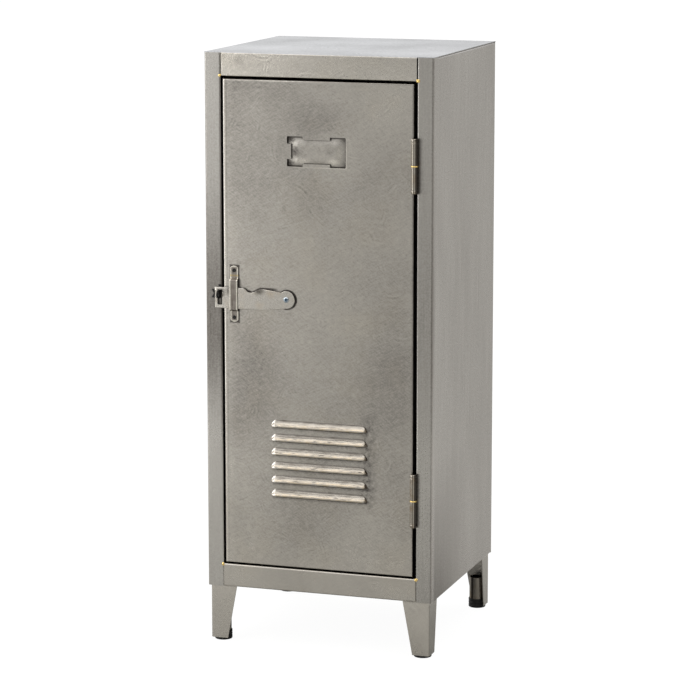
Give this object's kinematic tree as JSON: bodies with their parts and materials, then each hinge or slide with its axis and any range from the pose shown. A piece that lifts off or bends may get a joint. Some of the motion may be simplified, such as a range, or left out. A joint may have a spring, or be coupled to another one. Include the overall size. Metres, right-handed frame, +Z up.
{
  "type": "tool chest side locker",
  "caption": "narrow steel side locker on tapered angle legs, flush door with card pocket, louvres and a padlockable lift-lever latch",
  "frame": {"origin": "middle of the bounding box on the floor, under the middle of the whole locker", "axes": "+X to the viewer's right when facing the door, +Y towards the back, +Z up"},
  "size_m": [0.35, 0.3415, 0.885],
  "materials": {
    "cabinet_steel": "raw sheet steel, vertically brushed, clear coated",
    "door_steel": "raw sheet steel with cloudy orbital sanding marks, clear coated",
    "latch_steel": "lighter satin steel",
    "hinge_steel": "turned steel, clear coated",
    "tube_steel": "drawn steel tube, clear coated",
    "rivet_chrome": "bright polished",
    "braze_brass": "bare brass, satin",
    "black_iron": "black, satin",
    "foot_rubber": "matt black rubber"
  },
  "bodies": {
    "cabinet": {"left_side_panel": "cabinet_steel", "right_side_panel": "cabinet_steel", "top_panel": "cabinet_steel", "floor_panel": "cabinet_steel", "back_panel": "cabinet_steel", "shelf": "cabinet_steel", "shelf_bracket_left": "cabinet_steel", "shelf_bracket_right": "cabinet_steel", "leg_front_left": "cabinet_steel", "leg_front_right": "cabinet_steel", "leg_rear_left": "cabinet_steel", "leg_rear_right": "cabinet_steel", "leg_tube_front_left": "tube_steel", "leg_tube_front_right": "tube_steel", "leg_tube_rear_left": "tube_steel", "leg_tube_rear_right": "tube_steel", "rubber_foot_front_left": "foot_rubber", "rubber_foot_front_right": "foot_rubber", "rubber_foot_rear_left": "foot_rubber", "rubber_foot_rear_right": "foot_rubber", "corner_brazes": "braze_brass", "staple_base": "black_iron", "padlock_staple": "black_iron", "hinge_upper_frame_barrel": "hinge_steel", "hinge_upper_ring": "braze_brass", "hinge_upper_pin": "hinge_steel", "hinge_lower_frame_barrel": "hinge_steel", "hinge_lower_ring": "braze_brass", "hinge_lower_pin": "hinge_steel"},
    "door": {"door_panel": "door_steel", "latch_strap": "latch_steel", "strap_rivets": "black_iron", "latch_pivot_rivet": "rivet_chrome", "latch_spacer": "latch_steel", "hinge_upper_door_barrel": "hinge_steel", "hinge_lower_door_barrel": "hinge_steel"},
    "lever": {"latch_lever": "latch_steel"}
  },
  "joints": [
    {"name": "door_hinge", "type": "hinge", "parent": "cabinet", "child": "door", "pos_m": [0.1475, -0.15806, 0.4835], "axis": [0, 0, 1], "range_deg": [0, 175]},
    {"name": "lever_lift", "type": "hinge", "parent": "door", "child": "lever", "pos_m": [-0.0482, -0.15705, 0.5252], "axis": [0, 1, 0], "range_deg": [0, 5]}
  ]
}
